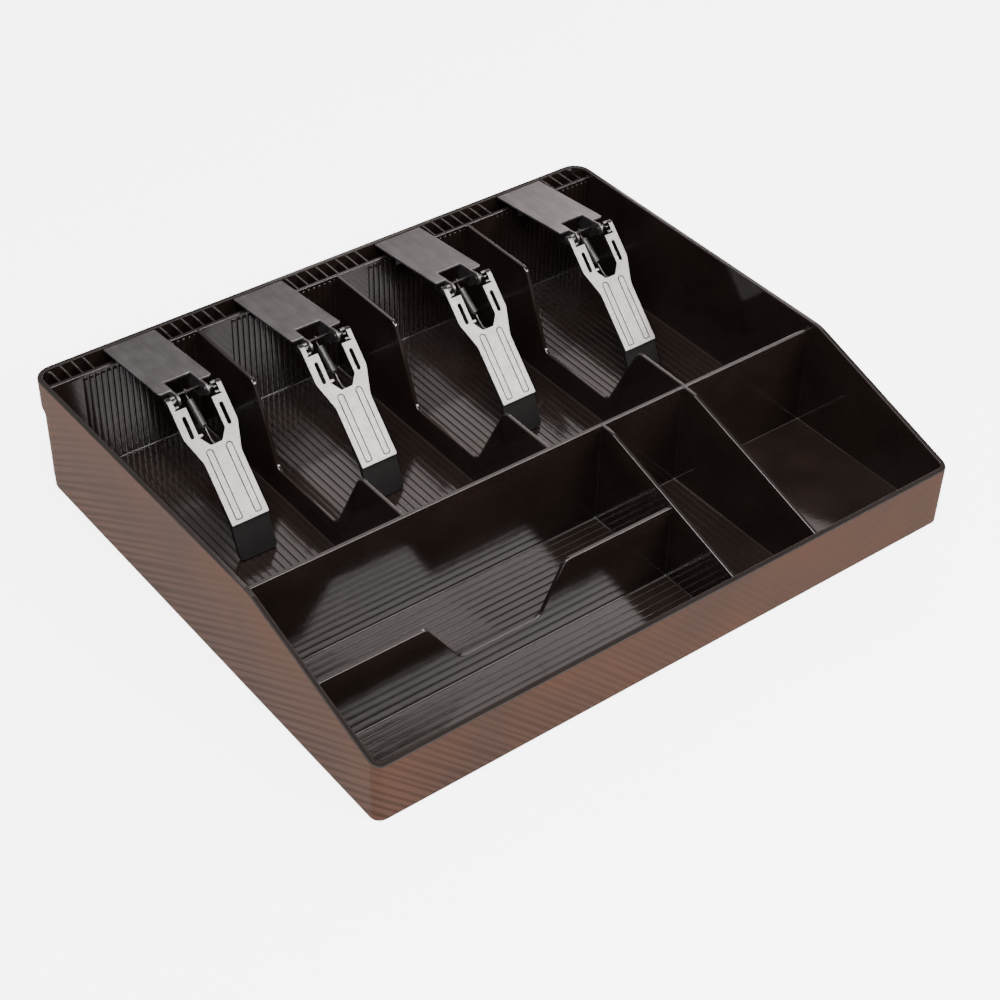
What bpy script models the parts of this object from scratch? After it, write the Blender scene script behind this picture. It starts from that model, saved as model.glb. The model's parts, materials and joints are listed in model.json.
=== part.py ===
"""Cash drawer insert tray: a moulded tray with bill and coin compartments and four sprung bill clips.

Metres, +Z up, +X to the right, +Y to the rear. The origin is under the middle of the tray's footprint.
Each clip has a bracket astride the rear wall of the bill compartments, a forked lever that hangs from two
short pins between the bracket's arms, an extension spring from the lever to a rod under the bracket, and a
pad on the lever's foot.
"""
import math

import bmesh
import bpy
from mathutils import Matrix, Vector

# Driving dimensions of the tray
TRAY_WIDTH = 0.325
TRAY_DEPTH = 0.276
REAR_HEIGHT = 0.0602
FRONT_HEIGHT = 0.0314
RIM_BEND_Y = -0.0474
WALL = 0.0026
FLOOR = 0.0026
PARTITION = 0.0020
DRAFT = math.tan(math.radians(0.6))
REAR_CORNER = 0.0095
FRONT_CORNER = 0.0050

# Rear lip: the lower part of the rear wall stands in from the rim
LIP_DEPTH = 0.0150
LIP_STEP = 0.0029

# Partitions
CHANNEL_WALL_Y = 0.1267
CHANNEL_WALL_TOP = 0.0575
CROSS_WALL_Y = -0.0420
CROSS_WALL_TOP = 0.0566
BILL_DIVIDER_X = (-0.080, 0.0, 0.080)
COIN_DIVIDER_X = (0.0302, 0.0795)
COIN_DIVIDER_BEND_Y = -0.0497
COIN_DIVIDER_BEND_RADIUS = 0.012
COIN_DIVIDER_FRONT_TOP = 0.0304
NOTCHED_WALL_Y = -0.0923
NOTCHED_WALL_TOP = 0.0422
ROOT_DEPTH = 0.001

# Cut-outs: the corners of each one at its top and at its bottom
CUT_OUT_TOP_Y = (-0.0095, 0.0768)
CUT_OUT_BOTTOM_Y = (0.0098, 0.0583)
CUT_OUT_BOTTOM = 0.0169
NOTCH_TOP_X = (-0.1050, -0.0310)
NOTCH_BOTTOM_X = (-0.0870, -0.0440)
NOTCH_BOTTOM = 0.0165
CUT_OUT_RADIUS = 0.0045

# Driving dimensions of a clip
CLIP_X = (-0.1120, -0.0407, 0.0424, 0.1198)
PIVOT_Y = 0.0785
PIVOT_Z = 0.0620
SHEET = 0.0012
GAP = 0.0003

# Bracket: its plate rises from the rear edge to the front edge
PLATE_HALF_WIDTH = 0.01385
PLATE_REAR = Vector((0.1351, 0.0599))
PLATE_FRONT = Vector((0.0834, 0.0647))
PLATE_NOTCH_HALF_WIDTH = 0.0070
PLATE_NOTCH_DEPTH = 0.0082
ARM_END_RADIUS = 0.0031
ARM_FOOT_DROP = 0.0042
ARM_FOOT_Y = (0.0050, 0.0130)
ARM_BACK = 0.0160
REAR_TAB_BOTTOM = 0.0500
FRONT_TAB_BOTTOM = 0.0510
TAB_HALF_WIDTH = 0.0085

# Pins, rod and spring
PIN_RADIUS = 0.0012
PIN_HEAD_RADIUS = 0.0018
PIN_INNER_HEAD = 0.0006
PIN_OUTER_HEAD = 0.0006
ROD_RADIUS = 0.0008
ROD_OVERHANG = 0.0006
ROD_Y = 0.0845
ROD_Z = 0.0599
SPRING_RADIUS = 0.0017
SPRING_HOOK_RADIUS = 0.0004
SPRING_UPPER_HOOK = 0.0040
SPRING_LOWER_HOOK = 0.0100

# Lever: it lies along a line that falls forward at this angle, above its pivot
LEVER_ANGLE = math.radians(46.0)
LEVER_RISE = 0.0041
LEVER_TOP = -0.0022
LEVER_LENGTH = 0.0625
SHOULDER = 0.0182
NECK = 0.0317
PRONG_HALF_WIDTH = 0.0143
PRONG_CHAMFER = 0.0010
BLADE_HALF_WIDTH = 0.0099
FORK_HALF_WIDTH = 0.0066
FORK_BOTTOM_HALF_WIDTH = 0.0031
FORK_SIDE_END = 0.0198
FORK_BOTTOM = 0.0245
EAR_INNER = 0.0116
EAR_RADIUS = 0.0027
CUT_BACK = 0.0045
SLOT_X = 0.0098
SLOT_START = 0.0084
SLOT_END = 0.0190
SLOT_WIDTH = 0.0018

# Pad
PAD_THICKNESS = 0.0024
PAD_TUCK = 0.0110
PAD_TUCK_THICKNESS = 0.0019
PAD_HALF_WIDTH = 0.0098
PAD_FOOT = Vector((0.0262, 0.0029))


# Helpers

def material(name, colour, roughness, metallic):
    """A Principled material with one colour."""
    made = bpy.data.materials.new(name)
    made.use_nodes = True
    shader = made.node_tree.nodes["Principled BSDF"]
    shader.inputs["Base Color"].default_value = (*colour, 1.0)
    shader.inputs["Roughness"].default_value = roughness
    shader.inputs["Metallic"].default_value = metallic
    made.diffuse_color = (*colour, 1.0)
    return made


def rounded(corners, steps=5):
    """A closed outline through corners (a, b) or (a, b, radius), with an arc in place of each radius."""
    outline = []
    for index, corner in enumerate(corners):
        here = Vector(corner[:2])
        if len(corner) == 2:
            outline.append(here)
            continue
        before = (Vector(corners[index - 1][:2]) - here).normalized()
        after = (Vector(corners[(index + 1) % len(corners)][:2]) - here).normalized()
        half = before.angle(after) / 2
        centre = here + (before + after).normalized() * corner[2] / math.sin(half)
        first = here + before * corner[2] / math.tan(half) - centre
        last = here + after * corner[2] / math.tan(half) - centre
        turn = first.angle_signed(last)
        for step in range(steps + 1):
            spoke = first.copy()
            spoke.rotate(Matrix.Rotation(-turn * step / steps, 2))
            outline.append(centre + spoke)
    return outline


def circle(centre, radius, sides=16):
    """A closed round outline."""
    angles = [2 * math.pi * side / sides for side in range(sides)]
    return [Vector(centre) + radius * Vector((math.cos(a), math.sin(a))) for a in angles]


def slab(outlines, place, low, high):
    """A mesh between two levels: the first outline is its edge and the others are its holes."""
    mesh = bmesh.new()
    edges = []
    for outline in outlines:
        points = [mesh.verts.new(place(a, b, low)) for a, b in outline]
        edges += [mesh.edges.new((points[i - 1], points[i])) for i in range(len(points))]
    bmesh.ops.triangle_fill(mesh, edges=edges, use_beauty=True, use_dissolve=False)
    raised = bmesh.ops.extrude_face_region(mesh, geom=mesh.faces[:])["geom"]
    step = Vector(place(0, 0, high)) - Vector(place(0, 0, low))
    bmesh.ops.translate(mesh, vec=step, verts=[v for v in raised if isinstance(v, bmesh.types.BMVert)])
    bmesh.ops.recalc_face_normals(mesh, faces=mesh.faces[:])
    return mesh


def loft(levels):
    """A mesh through levels of (outline, height), whose outlines all have the same number of points."""
    mesh = bmesh.new()
    rings = [[mesh.verts.new((x, y, height)) for x, y in outline] for outline, height in levels]
    mesh.faces.new(list(reversed(rings[0])))
    mesh.faces.new(rings[-1])
    count = len(rings[0])
    for lower, upper in zip(rings, rings[1:]):
        for i in range(count):
            j = (i + 1) % count
            mesh.faces.new((lower[i], lower[j], upper[j], upper[i]))
    bmesh.ops.recalc_face_normals(mesh, faces=mesh.faces[:])
    return mesh


def along_x(a, b, level):
    """Outline in Y and Z, thickness along X."""
    return (level, a, b)


def along_y(a, b, level):
    """Outline in X and Z, thickness along Y."""
    return (a, level, b)


def new_object(name, mesh, finish=None):
    """A scene object that holds a finished bmesh."""
    data = bpy.data.meshes.new(name)
    mesh.to_mesh(data)
    mesh.free()
    made = bpy.data.objects.new(name, data)
    bpy.context.scene.collection.objects.link(made)
    if finish:
        data.materials.append(finish)
    return made


def combine(made, operation, meshes):
    """Join each mesh to an object or cut it away, and keep the result as the object's own mesh."""
    for mesh in meshes:
        tool = new_object("tool", mesh)
        step = made.modifiers.new("step", "BOOLEAN")
        step.operation = operation
        step.solver = "EXACT"
        step.object = tool
        depsgraph = bpy.context.evaluated_depsgraph_get()
        result = bpy.data.meshes.new_from_object(made.evaluated_get(depsgraph))
        made.modifiers.remove(step)
        result.name = made.name
        made.data = result
        bpy.data.objects.remove(tool)


def smooth_by_angle(made, degrees=35):
    """Smooth shading that keeps its corners."""
    made.data.shade_smooth()
    made.data.set_sharp_from_angle(angle=math.radians(degrees))


# Tray

def tray_outline(inset, height, rear_step=0.0):
    """The outline seen from above at a height, at a distance inside the outer wall, which leans out."""
    side = TRAY_WIDTH / 2 - inset - (REAR_HEIGHT - height) * DRAFT
    back = TRAY_DEPTH / 2 - inset - (REAR_HEIGHT - height) * DRAFT - rear_step
    front = TRAY_DEPTH / 2 - inset - (FRONT_HEIGHT - height) * DRAFT
    rear_round = REAR_CORNER - inset
    front_round = FRONT_CORNER - inset
    corners = [(-side, -front, front_round), (side, -front, front_round),
               (side, back, rear_round), (-side, back, rear_round)]
    return rounded(corners, steps=6)


def tray_solid(inset, bottom, top):
    """The space inside the outer wall's face, or at a distance inside it. Its rear steps in below the lip."""
    lip = REAR_HEIGHT - LIP_DEPTH
    foot = lip - LIP_STEP
    return loft([(tray_outline(inset, bottom, LIP_STEP), bottom), (tray_outline(inset, foot, LIP_STEP), foot),
                 (tray_outline(inset, lip), lip), (tray_outline(inset, top), top)])


def above_rim():
    """What is cut off above the rim, which falls from the bend to the front."""
    slope = (REAR_HEIGHT - FRONT_HEIGHT) / (RIM_BEND_Y + TRAY_DEPTH / 2)
    front_y = -TRAY_DEPTH / 2 - 0.01
    front_z = FRONT_HEIGHT - 0.01 * slope
    rear_y = TRAY_DEPTH / 2 + 0.01
    profile = rounded([(front_y, front_z), (RIM_BEND_Y, REAR_HEIGHT, 0.020), (rear_y, REAR_HEIGHT),
                       (rear_y, REAR_HEIGHT + 0.02), (front_y, REAR_HEIGHT + 0.02)])
    return slab([profile], along_x, -TRAY_WIDTH, TRAY_WIDTH)


def cross_slab(profile, middle):
    """A partition whose outline is in X and Z."""
    return slab([profile], along_y, middle - PARTITION / 2, middle + PARTITION / 2)


def long_slab(profile, middle):
    """A partition whose outline is in Y and Z."""
    return slab([profile], along_x, middle - PARTITION / 2, middle + PARTITION / 2)


def partitions():
    """The walls inside the tray. Each one runs a little into the floor and into its neighbours."""
    root = FLOOR - ROOT_DEPTH
    side = TRAY_WIDTH / 2 - WALL / 2
    front = -TRAY_DEPTH / 2 + WALL / 2
    channel_wall = [(-side, root), (side, root), (side, CHANNEL_WALL_TOP), (-side, CHANNEL_WALL_TOP)]
    cross_wall = [(-side, root), (side, root), (side, CROSS_WALL_TOP), (-side, CROSS_WALL_TOP)]
    curve = CUT_OUT_RADIUS
    notched_wall = rounded([
        (-side, root), (COIN_DIVIDER_X[0], root), (COIN_DIVIDER_X[0], NOTCHED_WALL_TOP),
        (NOTCH_TOP_X[1], NOTCHED_WALL_TOP, curve), (NOTCH_BOTTOM_X[1], NOTCH_BOTTOM, curve),
        (NOTCH_BOTTOM_X[0], NOTCH_BOTTOM, curve), (NOTCH_TOP_X[0], NOTCHED_WALL_TOP, curve),
        (-side, NOTCHED_WALL_TOP)])
    bill_divider = rounded([
        (CROSS_WALL_Y, root), (CHANNEL_WALL_Y, root), (CHANNEL_WALL_Y, CHANNEL_WALL_TOP),
        (CUT_OUT_TOP_Y[1], CHANNEL_WALL_TOP, curve), (CUT_OUT_BOTTOM_Y[1], CUT_OUT_BOTTOM, curve),
        (CUT_OUT_BOTTOM_Y[0], CUT_OUT_BOTTOM, curve), (CUT_OUT_TOP_Y[0], CROSS_WALL_TOP, curve),
        (CROSS_WALL_Y, CROSS_WALL_TOP)])
    coin_divider = rounded([
        (front, root), (CROSS_WALL_Y, root), (CROSS_WALL_Y, CROSS_WALL_TOP),
        (COIN_DIVIDER_BEND_Y, CROSS_WALL_TOP, COIN_DIVIDER_BEND_RADIUS), (front, COIN_DIVIDER_FRONT_TOP)])
    walls = [cross_slab(channel_wall, CHANNEL_WALL_Y), cross_slab(cross_wall, CROSS_WALL_Y)]
    walls += [long_slab(bill_divider, x) for x in BILL_DIVIDER_X]
    walls += [long_slab(coin_divider, x) for x in COIN_DIVIDER_X]
    walls.append(cross_slab(notched_wall, NOTCHED_WALL_Y))
    return walls


def make_tray(finish):
    """The one moulding: outer walls, floor, rear channel and partitions."""
    top = REAR_HEIGHT + 0.01
    tray = new_object("tray", tray_solid(0.0, 0.0, top), finish)
    combine(tray, "DIFFERENCE", [above_rim(), tray_solid(WALL, FLOOR, 2 * top)])
    combine(tray, "UNION", partitions())
    smooth_by_angle(tray)


# Clips. Their meshes are made round the pivot, so each object's origin is on its joint's axis.

def from_pivot(a, b, level):
    """Outline in the tray's Y and Z, thickness along X, measured from the pivot."""
    return (level, a - PIVOT_Y, b - PIVOT_Z)


def lever_point(along, above):
    """Y and Z, from the pivot, of a point along the lever and above its pivot."""
    forward = -math.cos(LEVER_ANGLE) * along - math.sin(LEVER_ANGLE) * above
    upward = -math.sin(LEVER_ANGLE) * along + math.cos(LEVER_ANGLE) * above
    return Vector((forward, upward))


def on_lever(across, along, above):
    """Outline across and along the lever, thickness away from it."""
    return (across, *lever_point(along, above))


def beside_lever(along, above, across):
    """Outline along and above the lever, thickness across it."""
    return (across, *lever_point(along, above))


def plate_point(back, below):
    """Y and Z of a point on the bracket's plate, back from its front edge and below its top."""
    run = (PLATE_REAR - PLATE_FRONT).normalized()
    down = Vector((run.y, -run.x))
    return PLATE_FRONT + run * back + down * below


def on_plate(across, back, below):
    """Outline across and along the bracket's plate, thickness below its top."""
    y, z = plate_point(back, below)
    return (across, y - PIVOT_Y, z - PIVOT_Z)


def bracket_meshes():
    """The bracket's plate and what is folded down from it."""
    length = (PLATE_REAR - PLATE_FRONT).length
    notch = PLATE_NOTCH_HALF_WIDTH
    plate = [(-PLATE_HALF_WIDTH, 0), (-notch, 0), (-notch, PLATE_NOTCH_DEPTH), (notch, PLATE_NOTCH_DEPTH),
             (notch, 0), (PLATE_HALF_WIDTH, 0), (PLATE_HALF_WIDTH, length), (-PLATE_HALF_WIDTH, length)]
    front_low = Vector((PIVOT_Y, PIVOT_Z - ARM_END_RADIUS))
    end_arc = []
    for step in range(9):
        angle = math.radians(90 + 180 * step / 8)
        end_arc.append(Vector((PIVOT_Y + ARM_END_RADIUS * math.cos(angle),
                               PIVOT_Z + ARM_END_RADIUS * math.sin(angle))))
    foot = [front_low + Vector((y, -ARM_FOOT_DROP)) for y in ARM_FOOT_Y]
    arm = end_arc + foot + [plate_point(ARM_BACK, SHEET / 2), plate_point(SHEET, SHEET / 2)]
    holes = [circle((PIVOT_Y, PIVOT_Z), PIN_RADIUS + GAP), circle((ROD_Y, ROD_Z), ROD_RADIUS + GAP)]
    rear_top = plate_point(length - SHEET, SHEET / 2)
    rear_tab = [(PLATE_REAR.x - SHEET, REAR_TAB_BOTTOM), (PLATE_REAR.x, REAR_TAB_BOTTOM),
                (PLATE_REAR.x, rear_top.y), (PLATE_REAR.x - SHEET, rear_top.y)]
    tab_y = CHANNEL_WALL_Y - PARTITION / 2 - GAP
    tab_top = plate_point(tab_y - PLATE_FRONT.x, SHEET / 2).y
    front_tab = [(tab_y - SHEET, FRONT_TAB_BOTTOM), (tab_y, FRONT_TAB_BOTTOM), (tab_y, tab_top),
                 (tab_y - SHEET, tab_top)]
    base = slab([plate], on_plate, 0, SHEET)
    folded = [slab([arm] + holes, from_pivot, notch, notch + SHEET),
              slab([arm] + holes, from_pivot, -notch - SHEET, -notch),
              slab([rear_tab], from_pivot, -TAB_HALF_WIDTH, TAB_HALF_WIDTH),
              slab([front_tab], from_pivot, -TAB_HALF_WIDTH, TAB_HALF_WIDTH)]
    return base, folded


def lever_outlines():
    """The flat stamping: the forked outline, then one slot in each prong."""
    half = [(CUT_BACK, FORK_HALF_WIDTH), (CUT_BACK, EAR_INNER + SHEET / 2),
            (LEVER_TOP, EAR_INNER + SHEET / 2), (LEVER_TOP, PRONG_HALF_WIDTH - PRONG_CHAMFER),
            (LEVER_TOP + PRONG_CHAMFER, PRONG_HALF_WIDTH), (SHOULDER, PRONG_HALF_WIDTH),
            (NECK, BLADE_HALF_WIDTH), (LEVER_LENGTH, BLADE_HALF_WIDTH)]
    fork = [(FORK_BOTTOM, FORK_BOTTOM_HALF_WIDTH), (FORK_SIDE_END, FORK_HALF_WIDTH)]
    right = [Vector((across, along)) for along, across in fork + half]
    left = [Vector((-point.x, point.y)) for point in reversed(right)]
    slots = []
    for side in (-1, 1):
        low = side * SLOT_X - SLOT_WIDTH / 2
        high = side * SLOT_X + SLOT_WIDTH / 2
        radius = SLOT_WIDTH / 2.1
        slots.append(rounded([(low, SLOT_START, radius), (high, SLOT_START, radius),
                              (high, SLOT_END, radius), (low, SLOT_END, radius)], steps=3))
    return [right + left] + slots


def lever_meshes():
    """The lever's sheet, and the two ears and the spring tab folded down from it."""
    base = slab(lever_outlines(), on_lever, LEVER_RISE - SHEET, LEVER_RISE)
    top = LEVER_RISE - SHEET / 2
    ear = [(LEVER_TOP + 0.0002, top)]
    for step in range(9):
        angle = math.radians(180 + 180 * step / 8)
        ear.append((EAR_RADIUS * math.cos(angle), EAR_RADIUS * math.sin(angle)))
    ear.append((CUT_BACK - 0.0004, top))
    hole = circle((0, 0), PIN_RADIUS + GAP)
    folded = [slab([ear, hole], beside_lever, EAR_INNER, EAR_INNER + SHEET),
              slab([ear, hole], beside_lever, -EAR_INNER - SHEET, -EAR_INNER)]
    tab = [(FORK_BOTTOM + 0.0001, -0.0018), (FORK_BOTTOM + SHEET, -0.0018), (FORK_BOTTOM + SHEET, top),
           (FORK_BOTTOM + 0.0001, top)]
    folded.append(slab([tab], beside_lever, -0.0020, 0.0020))
    return base, folded


def pad_mesh():
    """The pad: its upper part lies under the lever's end, and its lower part hangs to the floor."""
    under = LEVER_RISE - SHEET - GAP
    end = lever_point(LEVER_LENGTH, under)
    foot = PAD_FOOT - Vector((PIVOT_Y, PIVOT_Z))
    run = (foot - end).normalized()
    back = Vector((-run.y, run.x)) * PAD_THICKNESS
    profile = [end, foot, foot + Vector((PAD_THICKNESS, 0)), end + back + run * GAP,
               lever_point(LEVER_LENGTH - PAD_TUCK, under - PAD_TUCK_THICKNESS),
               lever_point(LEVER_LENGTH - PAD_TUCK, under)]
    return slab([profile], along_x, -PAD_HALF_WIDTH, PAD_HALF_WIDTH)


def turned(profile, sides, start, direction):
    """A round solid from (distance, radius) pairs along a direction, closed at both ends."""
    mesh = bmesh.new()
    turn = Vector((0, 0, 1)).rotation_difference(direction)
    rings = []
    for distance, radius in profile:
        ring = [turn @ Vector((x, y, distance)) + start for x, y in circle((0, 0), radius, sides)]
        rings.append([mesh.verts.new(point) for point in ring])
    mesh.faces.new(list(reversed(rings[0])))
    mesh.faces.new(rings[-1])
    for lower, upper in zip(rings, rings[1:]):
        for i in range(sides):
            j = (i + 1) % sides
            mesh.faces.new((lower[i], lower[j], upper[j], upper[i]))
    bmesh.ops.recalc_face_normals(mesh, faces=mesh.faces[:])
    return mesh


def pin_meshes():
    """Two short headed pins, one through each arm and ear."""
    inner = PLATE_NOTCH_HALF_WIDTH - GAP
    ear_side = EAR_INNER + SHEET + GAP
    profile = [(inner - PIN_INNER_HEAD, PIN_HEAD_RADIUS), (inner, PIN_HEAD_RADIUS), (inner, PIN_RADIUS),
               (ear_side, PIN_RADIUS), (ear_side, PIN_HEAD_RADIUS),
               (ear_side + PIN_OUTER_HEAD, PIN_HEAD_RADIUS)]
    middle = Vector((0, 0, 0))
    return {"right": turned(profile, 16, middle, Vector((1, 0, 0))),
            "left": turned(profile, 16, middle, Vector((-1, 0, 0)))}


def rod_mesh():
    """The rod across the bracket's arms that holds the spring."""
    half = PLATE_NOTCH_HALF_WIDTH + SHEET + ROD_OVERHANG
    start = Vector((-half, ROD_Y - PIVOT_Y, ROD_Z - PIVOT_Z))
    return turned([(0, ROD_RADIUS), (2 * half, ROD_RADIUS)], 12, start, Vector((1, 0, 0)))


def spring_mesh():
    """The outer shape of the extension spring, from the rod to the lever's tab."""
    rod = Vector((0, ROD_Y - PIVOT_Y, ROD_Z - PIVOT_Z))
    tab = Vector(on_lever(0, FORK_BOTTOM, 0))
    direction = (tab - rod).normalized()
    start = ROD_RADIUS + GAP
    end = (tab - rod).length - GAP
    body = (start + SPRING_UPPER_HOOK, end - SPRING_LOWER_HOOK)
    profile = [(start, SPRING_HOOK_RADIUS), (body[0], SPRING_HOOK_RADIUS), (body[0], SPRING_RADIUS),
               (body[1], SPRING_RADIUS), (body[1], SPRING_HOOK_RADIUS), (end, SPRING_HOOK_RADIUS)]
    return turned(profile, 12, rod, direction)


def place_clip(number, x, parts):
    """One clip: its objects share their meshes with the other clips' objects."""
    for kind, data in parts.items():
        made = bpy.data.objects.new(f"clip_{number}_{kind}", data)
        made.location = (x, PIVOT_Y, PIVOT_Z)
        bpy.context.scene.collection.objects.link(made)


def make_clips(steel, bright_steel, spring_steel, rubber):
    """All the clips, from one set of meshes."""
    models = {}
    base, folded = bracket_meshes()
    models["bracket"] = new_object("model", base, steel)
    combine(models["bracket"], "UNION", folded)
    base, folded = lever_meshes()
    models["lever"] = new_object("model", base, bright_steel)
    combine(models["lever"], "UNION", folded)
    models["pad"] = new_object("model", pad_mesh(), rubber)
    for side, mesh in pin_meshes().items():
        models["pin_" + side] = new_object("model", mesh, bright_steel)
    models["spring_rod"] = new_object("model", rod_mesh(), bright_steel)
    models["spring"] = new_object("model", spring_mesh(), spring_steel)
    parts = {}
    for kind, model in models.items():
        smooth_by_angle(model)
        parts[kind] = model.data
        bpy.data.objects.remove(model)
    for number, x in enumerate(CLIP_X, start=1):
        place_clip(number, x, parts)


def main():
    for old in list(bpy.data.objects):
        bpy.data.objects.remove(old)
    make_tray(material("black_plastic", (0.030, 0.025, 0.022), 0.25, 0.0))
    make_clips(material("satin_steel", (0.33, 0.31, 0.31), 0.38, 1.0),
               material("bright_steel", (0.62, 0.60, 0.60), 0.30, 1.0),
               material("spring_steel", (0.22, 0.21, 0.20), 0.30, 1.0),
               material("black_rubber", (0.030, 0.028, 0.028), 0.55, 0.0))


main()
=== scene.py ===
"""Looks for the cash drawer insert tray: the moulding with its ridges and ribs, and its four sprung clips.

Metres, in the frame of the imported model. The tray is shaped from its own CAD mesh, with rounded edges,
ridged floors and walls, and the ribs of the rear channel. A clip's pieces are made once round the pivot and
placed at the four hinge joints.
"""
import json
import math

import bmesh
import bpy
from mathutils import Matrix, Quaternion, Vector


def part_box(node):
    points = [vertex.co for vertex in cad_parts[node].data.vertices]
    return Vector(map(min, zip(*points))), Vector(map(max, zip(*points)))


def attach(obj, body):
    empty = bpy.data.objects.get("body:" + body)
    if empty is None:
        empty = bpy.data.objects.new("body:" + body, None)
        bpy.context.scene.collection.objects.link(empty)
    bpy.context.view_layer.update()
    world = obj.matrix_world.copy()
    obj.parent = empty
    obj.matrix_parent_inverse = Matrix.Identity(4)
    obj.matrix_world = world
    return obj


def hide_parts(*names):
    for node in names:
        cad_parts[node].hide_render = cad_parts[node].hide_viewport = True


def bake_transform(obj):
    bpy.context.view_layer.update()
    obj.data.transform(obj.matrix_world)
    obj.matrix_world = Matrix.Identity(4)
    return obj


# Tray: what the ridges and ribs are set out from
WALL = 0.0026
FLOOR = 0.0026
PARTITION = 0.0020
DRAFT = math.tan(math.radians(0.6))
REAR_CORNER = 0.0095
FRONT_CORNER = 0.0050
LIP_DEPTH = 0.0150
LIP_STEP = 0.0029
CHANNEL_WALL_Y = 0.1267
CROSS_WALL_Y = -0.0420
NOTCHED_WALL_Y = -0.0923
BILL_DIVIDER_X = (-0.080, 0.0, 0.080)
COIN_DIVIDER_X = (0.0302, 0.0795)
FRONT_WALL_LEAN = 0.0003
EDGE_ROUND = 0.0005
CUT_MARGIN = 0.0010

# Ridges and ribs
FLOOR_RIDGE_PITCH = 0.0039
FLOOR_RIDGE_SHARE = 0.82
FLOOR_RIDGE_DEPTH = 0.00042
FLOOR_RIDGE_SQUARENESS = 14
FLOOR_RIDGE_SUNK = 0.00005
RIDGE_END_GAP = 0.0006
WALL_RIDGE_PITCH = 0.0031
WALL_RIDGE_DEPTH = 0.0006
WALL_RIDGE_HALF_SHARE = 0.37
WALL_RIDGE_EDGE_ROUND = 0.0003
WALL_RIDGE_TOP = 0.0556
WALL_RIDGE_START = 0.0187
WALL_RIDGE_FOOT = 0.0002
PANEL_ABOVE_RIDGES = 0.0006
PANEL_MARGIN = 0.0004
RIB_PITCH = 0.00593
RIB_FIRST_X = -0.1586
RIB_THICKNESS = 0.0011
RIB_TOP = 0.0573
RIB_CLEAR_OF_CLIP = 0.0175
RIB_EDGE_ROUND = 0.00015

# Clip, from its pivot
SHEET = 0.0012
SHEET_EDGE_ROUND = 0.0002
SMALL_EDGE_ROUND = 0.00015
PLATE_HALF_WIDTH = 0.01385
PLATE_REAR = Vector((0.0566, -0.0021))
PLATE_FRONT = Vector((0.0049, 0.0027))
PLATE_NOTCH_HALF_WIDTH = 0.0070
PLATE_NOTCH_DEPTH = 0.0082
ARM_END_RADIUS = 0.0031
TAB_HALF_WIDTH = 0.0085
ROD = Vector((0.0060, -0.0021))
ROD_RADIUS = 0.0008
PIN_RADIUS = 0.0012
LEVER_ANGLE = math.radians(46.0)
LEVER_RISE = 0.0041
LEVER_TOP = -0.0002
LEVER_LENGTH = 0.0625
PRONG_HALF_WIDTH = 0.0143
BLADE_HALF_WIDTH = 0.0099
FORK_HALF_WIDTH = 0.0066
EAR_INNER = 0.0116
CUT_BACK = 0.0045
FORK_BOTTOM = 0.0245
PAD_HALF_WIDTH = 0.0098
PAD_THICKNESS = 0.0024
EMBOSS_START = 0.0260
EMBOSS_END = 0.0607
EMBOSS_X = 0.0051
EAR_RADIUS = 0.0027
CURL_RADIUS = 0.0020
HOLE_CLEARANCE = 0.0002
PIN_HEAD_RADIUS = 0.0017
PAD_FOOT = Vector((-0.0523, -0.0591))

# Spring
WIRE_RADIUS = 0.00029
COIL_RADIUS = 0.00142
COIL_PITCH = 0.00060
COIL_START = 0.0044
COIL_END_SPACE = 0.0103
ROD_HOOK_RADIUS = 0.00118
TAB_HOOK_RADIUS = 0.0010


# Mesh helpers

def rounded(corners, steps=6):
    """A closed outline through corners (a, b) or (a, b, radius), with an arc in place of each radius."""
    outline = []
    for index, corner in enumerate(corners):
        here = Vector(corner[:2])
        if len(corner) == 2:
            outline.append(here)
            continue
        before = (Vector(corners[index - 1][:2]) - here).normalized()
        after = (Vector(corners[(index + 1) % len(corners)][:2]) - here).normalized()
        half = before.angle(after) / 2
        centre = here + (before + after).normalized() * corner[2] / math.sin(half)
        first = here + before * corner[2] / math.tan(half) - centre
        last = here + after * corner[2] / math.tan(half) - centre
        turn = first.angle_signed(last)
        for step in range(steps + 1):
            spoke = first.copy()
            spoke.rotate(Matrix.Rotation(-turn * step / steps, 2))
            outline.append(centre + spoke)
    return outline


def circle(centre, radius, sides=24):
    """A closed round outline."""
    angles = [2 * math.pi * side / sides for side in range(sides)]
    return [Vector(centre) + radius * Vector((math.cos(a), math.sin(a))) for a in angles]


def prism(outlines, place, low, high, round_edges=0.0, segments=3):
    """A closed mesh between two levels. The first outline is its edge and the others are its holes."""
    mesh = bmesh.new()
    edges = []
    for outline in outlines:
        points = [mesh.verts.new(place(a, b, low)) for a, b in outline]
        edges += [mesh.edges.new((points[i - 1], points[i])) for i in range(len(points))]
    bmesh.ops.triangle_fill(mesh, edges=edges, use_beauty=True, use_dissolve=False)
    raised = bmesh.ops.extrude_face_region(mesh, geom=mesh.faces[:])["geom"]
    step = Vector(place(0, 0, high)) - Vector(place(0, 0, low))
    bmesh.ops.translate(mesh, vec=step, verts=[v for v in raised if isinstance(v, bmesh.types.BMVert)])
    bmesh.ops.recalc_face_normals(mesh, faces=mesh.faces[:])
    join_flat_faces(mesh)
    if round_edges:
        soften(mesh, round_edges, segments)
    return mesh


def join_flat_faces(mesh):
    """Make one face of each flat area."""
    bmesh.ops.dissolve_limit(mesh, angle_limit=math.radians(0.5), verts=mesh.verts[:], edges=mesh.edges[:])


def soften(mesh, width, segments=3):
    """Round every edge that is sharper than 35 degrees."""
    sharp = [edge for edge in mesh.edges if edge.is_manifold and edge.calc_face_angle() > math.radians(35)]
    bmesh.ops.bevel(mesh, geom=sharp, offset=width, offset_type="OFFSET", segments=segments, profile=0.5,
                    affect="EDGES", clamp_overlap=False)


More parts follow.
